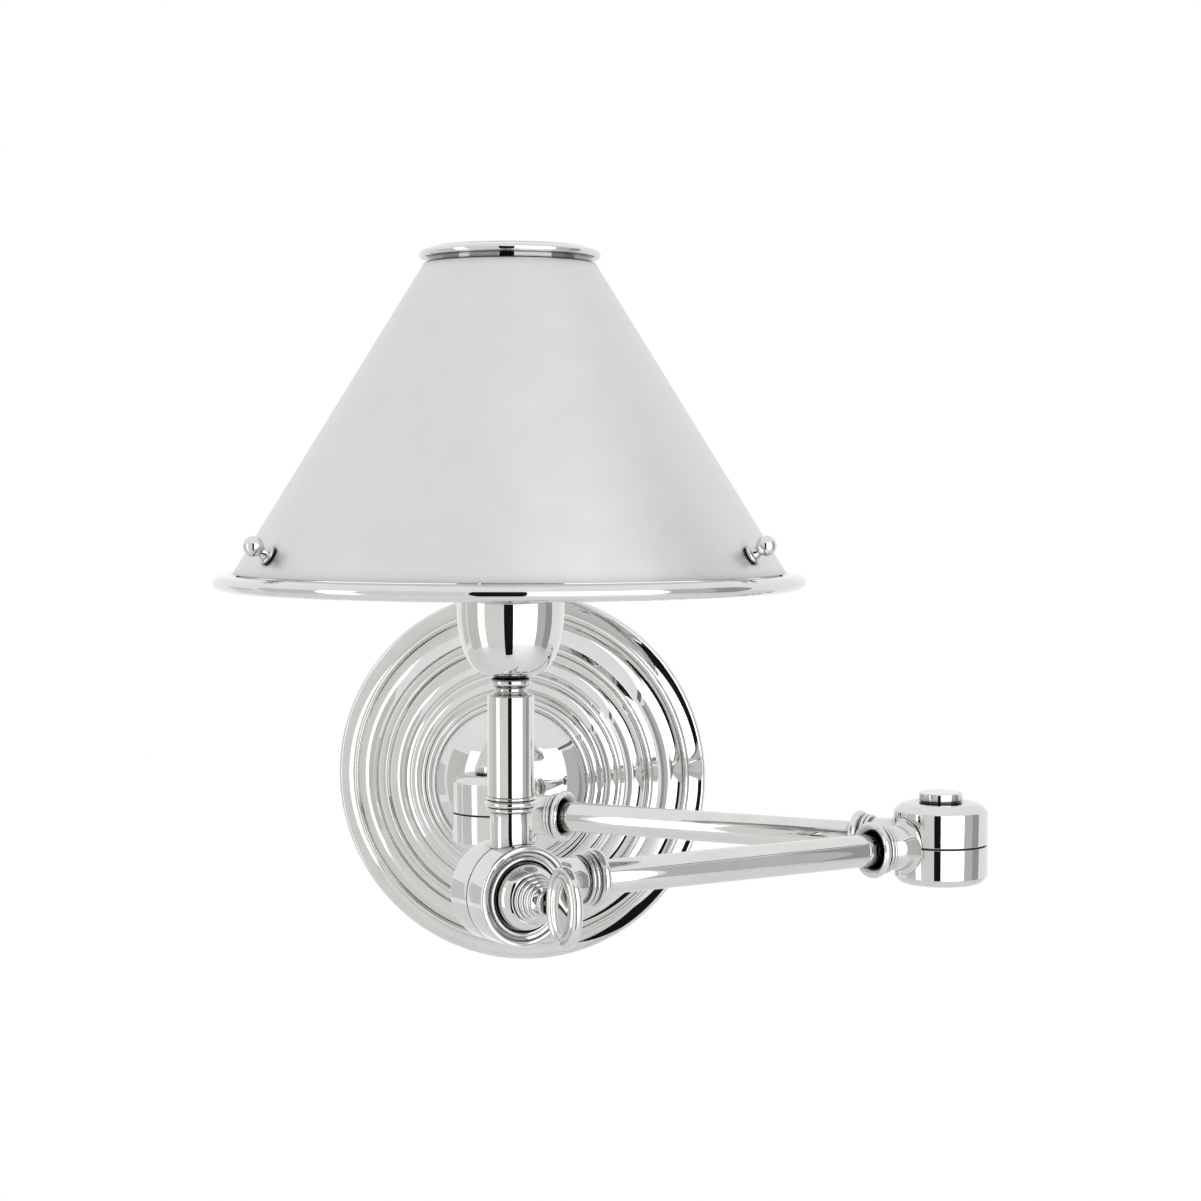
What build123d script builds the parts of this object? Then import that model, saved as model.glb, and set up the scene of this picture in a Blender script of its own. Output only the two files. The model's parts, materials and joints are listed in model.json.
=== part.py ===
from build123d import *
import os
from math import atan, cos, degrees, radians, sin, sqrt

# Swing arm wall sconce, in millimetres.
# Origin: centre of the wall plate on the wall's surface.
# +Z up, +X to the right seen from the room, -Y out of the wall into the room.

# ---------------------------------------------------------------- driving dimensions
PLATE_R = 76.2              # wall plate, 6 inches across
DOME_TOP = 38.5             # how far the plate's dome stands off the wall
ARM_Z = -6.4                # height of the arms' axes below the plate's centre
WALL_PIVOT_OUT = 66.0       # wall swivel's axis, out from the wall
ARM_1_LEN = 181.4           # wall swivel to elbow
ARM_2_LEN = 174.2           # elbow to tilt drum
ARM_1_ANGLE = 20.7          # arm 1 leaves the wall at this angle, towards +X
ARM_2_ANGLE = 39.1          # arm 2 comes back at this angle, towards -X

KNUCKLE_R = 16.5
KNUCKLE_UP = 11.9           # split plane to the top edge of the cylinder
KNUCKLE_DOWN = 11.0         # split plane to the bottom edge of the cylinder
KNUCKLE_FOOT = 13.6         # split plane to the flat underside
CAP_TOP = 14.9              # split plane to the top of the domed cap
BUTTON_R = 7.6
BUTTON_H = 3.3
SEAM = 0.3                  # half of the gap between the two halves of a joint
GAP = 0.3                   # clearance round the half that turns past a stub

PIVOT_R = 4.0               # hollow swivel pivot
PIVOT_BORE = 2.9
RUNNING = 0.05              # radial clearance of a shaft that turns
CAVITY_R = 7.0              # hollow inside each half of a swivel
WEB = 3.7                   # metal between the seam and that hollow

STUB_R = 7.6                # stub that leaves a joint
STUB_END = 25.5             # joint axis to the end of a stub
COLLAR_END = 31.8           # joint axis to the lip of a collar
TUBE_R = 5.65
TUBE_WALL = 1.2
TUBE_SEAT = 26.6            # joint axis to the end of the arm's tube
WIRE_BORE = 3.2
DRILL_R = 1.9               # hole for the leads between a stub and a joint's hollow
LEAD_R = 1.05

DRUM_R = 16.0               # tilt joint
DRUM_FRONT = 9.8            # seam to the front face's bead
DRUM_BACK = 11.2            # seam to the back's edge
DRUM_DROP = 2.0             # drum's axis below arm 2's axis
SCREW_R = 3.0
GROOVE_IN = 5.6             # ring-shaped hollow for the leads inside the drum
GROOVE_OUT = 10.0
GROOVE_MID = 2.7            # seam to the middle of that hollow
BOSS_TOP = 14.2             # drum centre to the flat top of the domed boss
RINGS_H = 8.7               # stack of rings on the clamp screw
KEY_MID = 32.4              # drum centre to the middle of the wing key
KEY_TALL = 25.6
KEY_WIDE = 18.5
KEY_THICK = 3.2

FERRULE_R = 6.6             # post, heights counted from arm 2's axis
FERRULE_TOP = 23.9
POST_R = 7.4
POST_FOOT = 28.6
POST_TOP = 60.5
NECK_TOP = 66.7
CUP_R = 16.8
CUP_TOP = 103.9
CUP_WALL = 1.2
HOLDER_R = 14.9             # lamp holder body
HOLDER_FOOT = 75.0
HOLDER_TOP = 114.4
SHELL_R = 13.2              # inside of the E26 screw shell
SHELL_WALL = 0.4

SHADE_FOOT = 98.7           # bottom edge of the cone
SHADE_FOOT_R = 85.9
SHADE_HEAD = 194.0          # top edge of the cone
SHADE_HEAD_R = 27.0
SHEET = 0.8
BEAD_MID = 96.0             # rolled rim
BEAD_MID_R = 88.25
BEAD_HALF_H = 2.5
BEAD_HALF_W = 4.0
SCREW_UP = 104.9            # thumb screws, on the outside of the cone
CARRIER_T = 1.6
HUB_R = 21.5                # ring that carries the shade's three arms
THUMB_AZIMUTHS = (99.4, 219.4, 339.4)

BAR_LEN = 100.0             # crossbar on the outlet box
BAR_H = 18.0
BAR_T = 2.0
BOX_SPACING = 69.85         # 2 3/4 inch between the box's screws
SLOT_LEN = 12.0
SLOT_R = 2.2
NIPPLE_R = 4.0
NIPPLE_BORE = 2.8

# ---------------------------------------------------------------- places
wall_pivot = Vector(0, -WALL_PIVOT_OUT, ARM_Z)
arm_1_dir = Vector(cos(radians(ARM_1_ANGLE)), -sin(radians(ARM_1_ANGLE)), 0)
elbow = wall_pivot + arm_1_dir * ARM_1_LEN
arm_2_dir = Vector(-cos(radians(ARM_2_ANGLE)), -sin(radians(ARM_2_ANGLE)), 0)
arm_2_end = elbow + arm_2_dir * ARM_2_LEN
drum = arm_2_end - Vector(0, 0, DRUM_DROP)
drum_dir = Vector(-arm_2_dir.Y, arm_2_dir.X, 0)     # drum axis, towards the wing key
up = Vector(0, 0, 1)

at_wall = Plane(wall_pivot, x_dir=(1, 0, 0), z_dir=up)
at_elbow = Plane(elbow, x_dir=(1, 0, 0), z_dir=up)
at_drum = Plane(drum, x_dir=up, z_dir=drum_dir)     # local Z along the drum's axis, local X up
at_post = Plane(arm_2_end, x_dir=(1, 0, 0), z_dir=up)
off_wall = Plane((0, 0, 0), x_dir=(1, 0, 0), z_dir=(0, -1, 0))

nodes = {}


# ---------------------------------------------------------------- shape helpers
def edges_along(start, *steps):
    """Edges from start: a pair is a line's end, four numbers are an arc's middle and end."""
    edges = []
    here = start
    for step in steps:
        end = step[-2:]
        if len(step) == 2:
            edges.append(Line(here, end))
        else:
            edges.append(ThreePointArc(here, step[:2], end))
        here = end
    return edges, here


def lathe(start, *steps):
    """Solid turned about Z from a closed outline of (radius, height) points."""
    edges, here = edges_along(start, *steps)
    edges.append(Line(here, start))
    return revolve(Plane.XZ * make_face(edges), Axis.Z)


def rod(radius, low, high):
    """Cylinder about Z between two heights."""
    return Pos(0, 0, low) * Cylinder(radius, high - low, align=(Align.CENTER, Align.CENTER, Align.MIN))


def ring(inner, outer, low, high):
    """Flat ring about Z."""
    return rod(outer, low, high) - rod(inner, low - 1, high + 1)


def hex_nut(bore, across, low, high):
    """Hexagonal nut about Z, with its corners turned off."""
    body = extrude(RegularPolygon(across / 2, 6, major_radius=False), high - low)
    body = Pos(0, 0, low) * body
    crown = rod(across * 0.55, low, high)
    return (body & chamfer(crown.edges(), (high - low) * 0.12)) - rod(bore, low - 1, high + 1)


def along(origin, direction):
    """Plane whose Z runs along a horizontal direction, with X up."""
    return Plane(origin, x_dir=up, z_dir=direction)


# ---------------------------------------------------------------- wall plate and its hardware
def wall_plate():
    outside = (
        (PLATE_R, 2.0),
        (75.8, 3.2, 74.6, 3.6),
        (69.8, 4.4),
        (68.6, 6.0, 67.2, 5.0),
        (61.6, 6.2, 57.8, 10.2),
        (55.6, 10.4),
        (54.6, 11.6, 53.2, 11.2),
        (52.4, 12.2),
        (47.2, 13.2, 44.8, 16.8),
        (43.6, 17.0),
        (43.0, 18.2, 41.8, 18.4),
        (38.6, 19.8, 37.2, 23.6),
        (36.0, 23.8),
        (33.4, 24.4, 32.6, 26.6),
        (31.6, 27.8, 30.2, 27.6),
        (21.0, 34.8, 9.0, DOME_TOP),
        (NIPPLE_R + 0.2, DOME_TOP),
    )
    inside = (
        (NIPPLE_R + 0.2, DOME_TOP - 2.4),
        (9.0, DOME_TOP - 2.4),
        (20.0, 33.2, 28.6, 26.6),
        (34.6, 21.6),
        (41.2, 15.6),
        (50.8, 9.8),
        (56.0, 8.2),
        (64.6, 4.0),
        (72.6, 2.4),
        (73.4, 0.0),
    )
    return lathe((PLATE_R, 0.0), *outside, *inside)


def crossbar():
    strip = extrude(SlotOverall(BAR_LEN, BAR_H), BAR_T)
    cuts = Pos(0, 0, -1) * extrude(Circle(NIPPLE_R + 0.02), BAR_T + 2)
    for side in (-1, 1):
        slot = extrude(SlotOverall(SLOT_LEN, 2 * SLOT_R), BAR_T + 2)
        cuts += Pos(side * BOX_SPACING / 2, 0, -1) * slot
    ground_hole = rod(1.6, -1, BAR_T + 1)
    return off_wall * (strip - cuts - Pos(16, 0, 0) * ground_hole)


def ground_screw():
    head = rod(3.4, BAR_T, BAR_T + 2.2)
    head = fillet(head.edges().sort_by(Axis.Z)[-1], 0.7)
    slot = Pos(0, 0, BAR_T + 2.2) * Box(8, 0.9, 2.0)
    shank = rod(1.58, 0.2, BAR_T)
    return off_wall * Pos(16, 0, 0) * (head - slot + shank)


nodes["wall_plate"] = off_wall * wall_plate()
nodes["crossbar"] = crossbar()
nodes["ground_screw"] = ground_screw()
nodes["centre_nipple"] = off_wall * ring(NIPPLE_BORE, NIPPLE_R, 0.0, DOME_TOP + 8.0)
nodes["crossbar_nut"] = off_wall * hex_nut(NIPPLE_R, 13.0, BAR_T, BAR_T + 3.5)
nodes["plate_nut"] = off_wall * hex_nut(NIPPLE_R, 13.0, DOME_TOP - 7.3, DOME_TOP - 3.6)
nodes["plate_lock_washer"] = off_wall * ring(NIPPLE_R + 0.1, 7.2, DOME_TOP - 3.6, DOME_TOP - 2.4)


# ---------------------------------------------------------------- swivels at the wall and the elbow
def swivel_upper():
    """Upper half without its stub: cylinder and domed cap."""
    return lathe(
        (0.0, SEAM),
        (KNUCKLE_R - 0.3, SEAM),
        (KNUCKLE_R, SEAM + 0.3),
        (KNUCKLE_R, KNUCKLE_UP),
        (KNUCKLE_R - 0.5, KNUCKLE_UP + 0.3),
        (14.2, CAP_TOP - 1.1, 10.6, CAP_TOP - 0.2),
        (BUTTON_R, CAP_TOP),
        (0.0, CAP_TOP),
    )


def swivel_lower():
    """Lower half without its stub: cylinder and rounded foot."""
    return lathe(
        (0.0, -SEAM),
        (KNUCKLE_R - 0.3, -SEAM),
        (KNUCKLE_R, -SEAM - 0.3),
        (KNUCKLE_R, -KNUCKLE_DOWN),
        (KNUCKLE_R - 0.5, -KNUCKLE_DOWN - 0.3),
        (15.0, -KNUCKLE_FOOT + 0.8, 12.8, -KNUCKLE_FOOT),
        (0.0, -KNUCKLE_FOOT),
    )


def stub(direction, past, other_side):
    """Stub from a joint's centre, cut clear of the half on its other side of the seam."""
    bar = along((0, 0, 0), direction) * rod(STUB_R, 6.0, STUB_END)
    reach = 2 * STUB_R
    seam_gap = rod(past + GAP, -SEAM, reach) if other_side > 0 else rod(past + GAP, -reach, SEAM)
    return bar - seam_gap


def lead_hole(direction, side):
    """Bore of a stub, and the slanted hole from it into the hollow of its own half."""
    bore = along((0, 0, 0), direction) * rod(WIRE_BORE, KNUCKLE_R + 3.5, STUB_END + 1)
    start = direction * (KNUCKLE_R + 5.5)
    target = direction * 4.6 + up * (side * 7.4)
    slope = target - start
    drill = Plane(start, z_dir=slope) * rod(DRILL_R, 0, slope.length)
    return bore + drill


def upper_hollow():
    """Hollow above the web, open at the cap, and the pivot's running bore."""
    return rod(CAVITY_R, SEAM + WEB, CAP_TOP + 1) + rod(PIVOT_R + RUNNING, 0, SEAM + WEB + 1)


def lower_hollow():
    """Closed hollow under the web, and the hole that the pivot is pressed into."""
    return rod(CAVITY_R, -KNUCKLE_FOOT + 2.2, -SEAM - WEB) + rod(PIVOT_R, -SEAM - WEB - 1, 0)


def pivot():
    """Hollow pivot with a flange under the lower half's web."""
    flange = rod(PIVOT_R + 1.8, -SEAM - WEB - 1.5, -SEAM - WEB)
    return rod(PIVOT_R, -SEAM - WEB - 1.5, 10.4) + flange - rod(PIVOT_BORE, -20, 20)


def spring_washer():
    low = SEAM + WEB + RUNNING
    return ring(PIVOT_R + 0.1, 6.3, low, low + 0.9)


def pivot_nut():
    low = SEAM + WEB + RUNNING + 0.9
    return hex_nut(PIVOT_R, 11.2, low, low + 3.4)


def seam_washer():
    return ring(PIVOT_R + 0.1, KNUCKLE_R - 1.0, -SEAM, SEAM - RUNNING)


def button():
    """Cap button with a plug that closes the hollow."""
    disc = rod(BUTTON_R, CAP_TOP, CAP_TOP + BUTTON_H)
    disc = fillet(disc.edges().sort_by(Axis.Z)[-1], 0.7)
    disc = chamfer(disc.edges().sort_by(Axis.Z)[0], 0.25)
    return disc + rod(CAVITY_R - 0.02, CAP_TOP - 3.2, CAP_TOP)


back = Vector(0, 1, 0)
to_plate = along((0, 0, -ARM_Z), back)             # the wall stub's axis meets the plate's centre
wall_stub = to_plate * rod(5.6, 6.0, WALL_PIVOT_OUT - DOME_TOP)
wall_bore = to_plate * rod(NIPPLE_R, 18.5, WALL_PIVOT_OUT)
wall_drill = to_plate * rod(DRILL_R, 4.0, 20.0)
wall_upper = swivel_upper() + wall_stub - upper_hollow() - wall_bore - wall_drill
wall_lower = swivel_lower() + stub(arm_1_dir, KNUCKLE_R, 1) - lower_hollow() - lead_hole(arm_1_dir, -1)
elbow_upper = swivel_upper() + stub(-arm_1_dir, KNUCKLE_R, -1) - upper_hollow() - lead_hole(-arm_1_dir, 1)
elbow_lower = swivel_lower() + stub(arm_2_dir, KNUCKLE_R, 1) - lower_hollow() - lead_hole(arm_2_dir, -1)

nodes["wall_knuckle_upper"] = at_wall * wall_upper
nodes["wall_knuckle_lower"] = at_wall * wall_lower
nodes["elbow_knuckle_upper"] = at_elbow * elbow_upper
nodes["elbow_knuckle_lower"] = at_elbow * elbow_lower
for name, place in (("wall", at_wall), ("elbow", at_elbow)):
    nodes[name + "_pivot"] = place * pivot()
    nodes[name + "_seam_washer"] = place * seam_washer()
    nodes[name + "_spring_washer"] = place * spring_washer()
    nodes[name + "_pivot_nut"] = place * pivot_nut()
    nodes[name + "_button"] = place * button()

nodes["stub_rose"] = off_wall * lathe(
    (5.65, DOME_TOP),
    (9.4, DOME_TOP),
    (10.4, DOME_TOP + 1.1, 9.2, DOME_TOP + 2.0),
    (7.4, DOME_TOP + 2.4),
    (6.6, DOME_TOP + 3.4, 6.3, DOME_TOP + 4.6),
    (5.65, DOME_TOP + 4.6),
)


# ---------------------------------------------------------------- arms
def collar():
    """Turned collar on the end of a stub, with a cupped lip round the tube."""
    return lathe(
        (WIRE_BORE, STUB_END),
        (STUB_R, STUB_END),
        (STUB_R + 0.9, STUB_END + 0.7, STUB_R + 0.1, STUB_END + 1.4),
        (STUB_R + 1.1, STUB_END + 2.1, STUB_R + 0.2, STUB_END + 2.8),
        (STUB_R + 0.6, STUB_END + 3.3),
        (STUB_R + 2.1, STUB_END + 4.6, STUB_R + 1.8, COLLAR_END - 0.3),
        (STUB_R + 1.1, COLLAR_END),
        (TUBE_R + 1.1, COLLAR_END - 1.1, TUBE_R + 0.02, COLLAR_END - 2.6),
        (TUBE_R + 0.02, TUBE_SEAT),
        (WIRE_BORE, TUBE_SEAT),
    )


def arm_tube(length):
    return ring(TUBE_R - TUBE_WALL, TUBE_R, TUBE_SEAT, length - TUBE_SEAT)


def lead_pair(low, high):
    """Two insulated leads side by side."""
    leads = []
    for side in (-1, 1):
        leads.append(Pos(side * (LEAD_R + 0.1), 0, 0) * rod(LEAD_R, low, high))
    return leads


LEAD_END = KNUCKLE_R + 4.0
out_1 = along(wall_pivot, arm_1_dir)
back_1 = along(elbow, -arm_1_dir)
out_2 = along(elbow, arm_2_dir)
back_2 = along(arm_2_end, -arm_2_dir)
nodes["arm_1_wall_collar"] = out_1 * collar()
nodes["arm_1_tube"] = out_1 * arm_tube(ARM_1_LEN)
nodes["arm_1_elbow_collar"] = back_1 * collar()
nodes["arm_2_elbow_collar"] = out_2 * collar()
nodes["arm_2_tube"] = out_2 * arm_tube(ARM_2_LEN)
nodes["arm_2_tilt_collar"] = back_2 * collar()
nodes["arm_1_leads"] = [out_1 * lead for lead in lead_pair(LEAD_END, ARM_1_LEN - LEAD_END)]
nodes["arm_2_leads"] = [out_2 * lead for lead in lead_pair(LEAD_END, ARM_2_LEN - LEAD_END)]


# ---------------------------------------------------------------- tilt joint
toward_elbow = at_drum.to_local_coords(drum - arm_2_dir)


def drum_groove(low, high):
    return ring(GROOVE_IN, GROOVE_OUT, low, high)


def drum_back():
    """Rear half: turned back face, blind thread for the clamp screw, stub to arm 2."""
    body = lathe(
        (0.0, -SEAM),
        (DRUM_R - 0.3, -SEAM),
        (DRUM_R, -SEAM - 0.3),
        (DRUM_R, -DRUM_BACK + 1.2),
        (DRUM_R - 0.4, -DRUM_BACK + 0.3, DRUM_R - 1.4, -DRUM_BACK),
        (12.4, -DRUM_BACK),
        (11.4, -DRUM_BACK + 0.7),
        (7.2, -DRUM_BACK - 0.8, 2.0, -DRUM_BACK - 1.6),
        (0.0, -DRUM_BACK - 1.6),
    )
    # In the drum's own frame, local X is up.
    to_arm = Plane((DRUM_DROP, 0, 0), x_dir=(1, 0, 0), z_dir=toward_elbow)
    arm_bar = to_arm * rod(STUB_R, 6.0, STUB_END)
    arm_bar -= rod(DRUM_R + GAP, -SEAM, 2 * STUB_R)
    bore = to_arm * rod(WIRE_BORE, DRUM_R + 2.5, STUB_END + 1)
    groove_to_arm = Plane((DRUM_DROP, 0, -GROOVE_MID), x_dir=(1, 0, 0), z_dir=toward_elbow)
    drill = groove_to_arm * rod(DRILL_R, 8.0, DRUM_R + 3.5)
    thread = rod(SCREW_R + RUNNING, -7.4, 0)
    return body + arm_bar - drum_groove(-5.0, 0) - thread - bore - drill


def drum_front():
    """Front half: ringed front face, running bore for the clamp screw, ferrule of the post."""
    body = lathe(
        (0.0, SEAM),
        (DRUM_R - 0.3, SEAM),
        (DRUM_R, SEAM + 0.3),
        (DRUM_R, DRUM_FRONT - 0.9),
        (DRUM_R - 0.3, DRUM_FRONT - 0.2, DRUM_R - 1.0, DRUM_FRONT),
        (DRUM_R - 1.9, DRUM_FRONT - 0.2, DRUM_R - 2.3, DRUM_FRONT - 1.0),
        (12.6, DRUM_FRONT - 1.3),
        (11.8, DRUM_FRONT - 0.3, 11.0, DRUM_FRONT - 1.1),
        (10.8, DRUM_FRONT - 1.3),
        (0.0, DRUM_FRONT - 1.3),
    )
    to_post = Plane((0, 0, 0), x_dir=(0, 1, 0), z_dir=(1, 0, 0))
    foot = to_post * rod(FERRULE_R, 5.0, FERRULE_TOP + DRUM_DROP)
    foot -= rod(DRUM_R + GAP, -2 * STUB_R, SEAM)
    bore = to_post * rod(NIPPLE_R, DRUM_R + 1.8, FERRULE_TOP + DRUM_DROP + 1)
    groove_to_post = Plane((0, 0, GROOVE_MID), x_dir=(0, 1, 0), z_dir=(1, 0, 0))
    drill = groove_to_post * rod(DRILL_R, 8.0, DRUM_R + 3.0)
    hole = rod(SCREW_R + RUNNING, 0, DRUM_FRONT)
    return body + foot - drum_groove(0, 5.0) - hole - bore - drill


def boss():
    """Domed boss on the drum's face, under the clamp screw's rings."""
    low = DRUM_FRONT - 1.3
    return lathe(
        (SCREW_R + RUNNING, low),
        (10.6, low),
        (10.4, low + 0.7),
        (9.7, low + 3.8, 7.8, BOSS_TOP),
        (SCREW_R + RUNNING, BOSS_TOP),
    )


def clamp_screw():
    """Clamp screw: shank through both halves, and a stack of turned rings."""
    low = BOSS_TOP + 0.08
    return lathe(
        (0.0, -7.0),
        (SCREW_R - 0.6, -7.0),
        (SCREW_R, -6.4),
        (SCREW_R, low),
        (6.5, low),
        (7.4, low + 0.7, 6.4, low + 1.4),
        (6.6, low + 2.2, 5.6, low + 2.9),
        (5.7, low + 3.6, 4.8, low + 4.3),
        (4.8, low + 4.9, 4.0, low + 5.5),
        (2.9, low + 5.9),
        (2.5, low + 6.7, 3.2, low + 7.3),
        (3.9, low + 8.0, 3.0, low + RINGS_H),
        (0.0, low + RINGS_H),
    )


def oval(inset):
    """The key's outline, drawn in from its edge."""
    return Ellipse(KEY_TALL / 2 - inset, KEY_WIDE / 2 - inset)


def wing_key():
    """Oval key in the screw's own plane, with a rolled rim round a dished middle."""
    disc = extrude(oval(0), KEY_THICK / 2, both=True)
    disc = fillet(disc.edges(), KEY_THICK * 0.42)
    channel = extrude(oval(2.2) - oval(3.4), 0.6, both=True)
    middle = extrude(oval(4.6), 0.8, both=True)
    for side in (-1, 1):
        disc -= Pos(0, 0, side * KEY_THICK / 2) * (channel + middle)
    foot = BOSS_TOP + 0.08 + RINGS_H
    stem = rod(1.3, foot, KEY_MID - KEY_WIDE / 2 + 1.2)
    return Pos(0, 0, KEY_MID) * Rot(90, 0, 0) * disc + stem


nodes["tilt_drum_back"] = at_drum * drum_back()
nodes["tilt_drum_front"] = at_drum * drum_front()
nodes["tilt_seam_washer"] = at_drum * ring(GROOVE_OUT + 0.4, DRUM_R - 0.9, -SEAM + RUNNING, SEAM)
nodes["tilt_boss"] = at_drum * boss()
nodes["clamp_screw"] = at_drum * clamp_screw()
nodes["wing_key"] = at_drum * wing_key()


# ---------------------------------------------------------------- post and lamp holder
def post_ring():
    low = FERRULE_TOP
    return lathe(
        (NIPPLE_R + 0.1, low),
        (FERRULE_R, low),
        (FERRULE_R + 1.0, low + 0.8, FERRULE_R + 0.2, low + 1.5),
        (POST_R + 0.9, low + 2.5, POST_R - 0.1, low + 3.6),
        (POST_R + 0.4, low + 4.1, POST_R, POST_FOOT),
        (NIPPLE_R + 0.1, POST_FOOT),
    )


def post_tube():
    return lathe(
        (6.2, POST_FOOT),
        (POST_R, POST_FOOT),
        (POST_R, POST_TOP - 0.9),
        (POST_R - 0.2, POST_TOP - 0.2, POST_R - 0.9, POST_TOP),
        (6.2, POST_TOP),
    )


def post_neck():
    return lathe(
        (NIPPLE_R + 0.1, POST_TOP),
        (6.3, POST_TOP),
        (5.1, POST_TOP + 0.9, 5.1, POST_TOP + 2.2),
        (5.4, POST_TOP + 2.6),
        (6.5, POST_TOP + 4.0, 5.4, POST_TOP + 5.4),
        (5.2, NECK_TOP),
        (NIPPLE_R + 0.1, NECK_TOP),
    )


def socket_cup():
    """Bell-shaped cup: an elliptical shoulder under a straight wall."""
    shoulder_r = 7.8
    wide = CUP_R - shoulder_r
    tall = 20.0
    centre = (shoulder_r, NECK_TOP + tall)
    hole = NIPPLE_R + 0.1
    outer = [
        Line((hole, NECK_TOP), (shoulder_r, NECK_TOP)),
        EllipticalCenterArc(centre, wide, tall, start_angle=270, arc_size=90),
        Line((CUP_R, NECK_TOP + tall), (CUP_R, CUP_TOP)),
        Line((CUP_R, CUP_TOP), (CUP_R - CUP_WALL, CUP_TOP)),
        Line((CUP_R - CUP_WALL, CUP_TOP), (CUP_R - CUP_WALL, NECK_TOP + tall)),
        EllipticalCenterArc(centre, wide - CUP_WALL, tall - CUP_WALL, start_angle=270, arc_size=90),
        Line((shoulder_r, NECK_TOP + CUP_WALL), (hole, NECK_TOP + CUP_WALL)),
        Line((hole, NECK_TOP + CUP_WALL), (hole, NECK_TOP)),
    ]
    return revolve(Plane.XZ * make_face(outer), Axis.Z)


def lamp_holder():
    """Porcelain holder body, with a seat for the screw shell."""
    floor = HOLDER_FOOT + 12.0
    body = lathe(
        (0.0, HOLDER_FOOT),
        (9.0, HOLDER_FOOT),
        (HOLDER_R - 0.8, floor - 3.0),
        (HOLDER_R, floor - 2.0),
        (HOLDER_R, HOLDER_TOP - 0.6),
        (HOLDER_R - 0.6, HOLDER_TOP),
        (SHELL_R + 0.6, HOLDER_TOP),
        (SHELL_R + 0.6, floor),
        (0.0, floor),
    )
    lead_holes = Pos(6, 0, 0) * rod(1.3, 0, 200) + Pos(-6, 0, 0) * rod(1.3, 0, 200)
    return body - lead_holes


def centre_contact():
    """Sprung brass tongue on the holder's floor."""
    floor = HOLDER_FOOT + 12.0
    foot = Pos(-2.6, 0, floor + 0.3) * Box(8.0, 4.0, 0.6)
    tongue = Pos(1.6, 0, floor + 1.9) * Rot(0, -24, 0) * Box(7.4, 4.0, 0.5)
    return foot + tongue


def screw_shell():
    """Brass shell with a narrow stepped foot; the bulb's cap goes in from above."""
    floor = HOLDER_FOOT + 12.1
    rim = HOLDER_TOP - 1.0
    outer = SHELL_R + SHELL_WALL
    foot_r = 9.8
    return lathe(
        (8.6, floor),
        (foot_r + SHELL_WALL, floor),
        (foot_r + SHELL_WALL, floor + 4.2),
        (outer, floor + 5.4),
        (outer, rim),
        (SHELL_R, rim),
        (SHELL_R, floor + 5.8),
        (foot_r, floor + 4.6),
        (foot_r, floor + SHELL_WALL),
        (8.6, floor + SHELL_WALL),
    )


nodes["post_ring"] = at_post * post_ring()
nodes["post_tube"] = at_post * post_tube()
nodes["post_neck"] = at_post * post_neck()
nodes["post_nipple"] = at_post * ring(NIPPLE_BORE, NIPPLE_R, DRUM_R + 2.2 - DRUM_DROP, NECK_TOP + 6.0)
nodes["cup_nut"] = at_post * hex_nut(NIPPLE_R, 11.4, NECK_TOP + CUP_WALL, NECK_TOP + CUP_WALL + 3.4)
nodes["post_leads"] = [at_post * lead for lead in lead_pair(DRUM_R + 3.0 - DRUM_DROP, HOLDER_FOOT - 1.0)]
nodes["socket_cup"] = at_post * socket_cup()
nodes["lamp_holder"] = at_post * lamp_holder()
nodes["screw_shell"] = at_post * screw_shell()
nodes["centre_contact"] = at_post * centre_contact()


# ---------------------------------------------------------------- shade and what carries it
cone_slope = (SHADE_FOOT_R - SHADE_HEAD_R) / (SHADE_HEAD - SHADE_FOOT)
cone_tilt = degrees(atan(cone_slope))
sheet_across = SHEET / cos(radians(cone_tilt))      # sheet thickness measured level
thumb_r = SHADE_FOOT_R - cone_slope * (SCREW_UP - SHADE_FOOT)


def thumb_frame(azimuth):
    """Frame on the cone's outside with Z along a thumb screw, pointing out."""
    spoke = Vector(cos(radians(azimuth)), sin(radians(azimuth)), 0)
    outward = spoke * cos(radians(cone_tilt)) + up * sin(radians(cone_tilt))
    side = Vector(-spoke.Y, spoke.X, 0)
    return Plane(spoke * thumb_r + up * SCREW_UP, x_dir=side, z_dir=outward)


def shade_cone():
    sheet = lathe(
        (SHADE_FOOT_R, SHADE_FOOT),
        (SHADE_HEAD_R, SHADE_HEAD),
        (SHADE_HEAD_R - 0.4, SHADE_HEAD + 0.5, SHADE_HEAD_R - 1.3, SHADE_HEAD + 0.6),
        (SHADE_HEAD_R - 1.3, SHADE_HEAD - 0.3),
        (SHADE_HEAD_R - sheet_across, SHADE_HEAD - 0.6),
        (SHADE_FOOT_R - sheet_across, SHADE_FOOT),
    )
    for azimuth in THUMB_AZIMUTHS:
        sheet -= thumb_frame(azimuth) * rod(2.1, -3, 3)
    return sheet


def rim_bead():
    section = Pos(BEAD_MID_R, BEAD_MID) * Ellipse(BEAD_HALF_W, BEAD_HALF_H)
    hollow = Pos(BEAD_MID_R, BEAD_MID) * Ellipse(BEAD_HALF_W - SHEET, BEAD_HALF_H - SHEET)
    return revolve(Plane.XZ * (section - hollow), Axis.Z)


def top_collar():
    """Ring round the open top, standing on a short neck."""
    inner = SHADE_HEAD_R - 3.4
    low = SHADE_HEAD - 1.0
    return lathe(
        (inner, low),
        (SHADE_HEAD_R - 1.4, low),
        (SHADE_HEAD_R - 1.4, low + 3.0),
        (SHADE_HEAD_R + 0.4, low + 3.0),
        (SHADE_HEAD_R + 1.3, low + 4.2, SHADE_HEAD_R + 0.3, low + 5.3),
        (SHADE_HEAD_R - 2.0, low + 5.9),
        (inner - 0.4, low + 5.4, inner, low + 4.6),
    )


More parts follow.
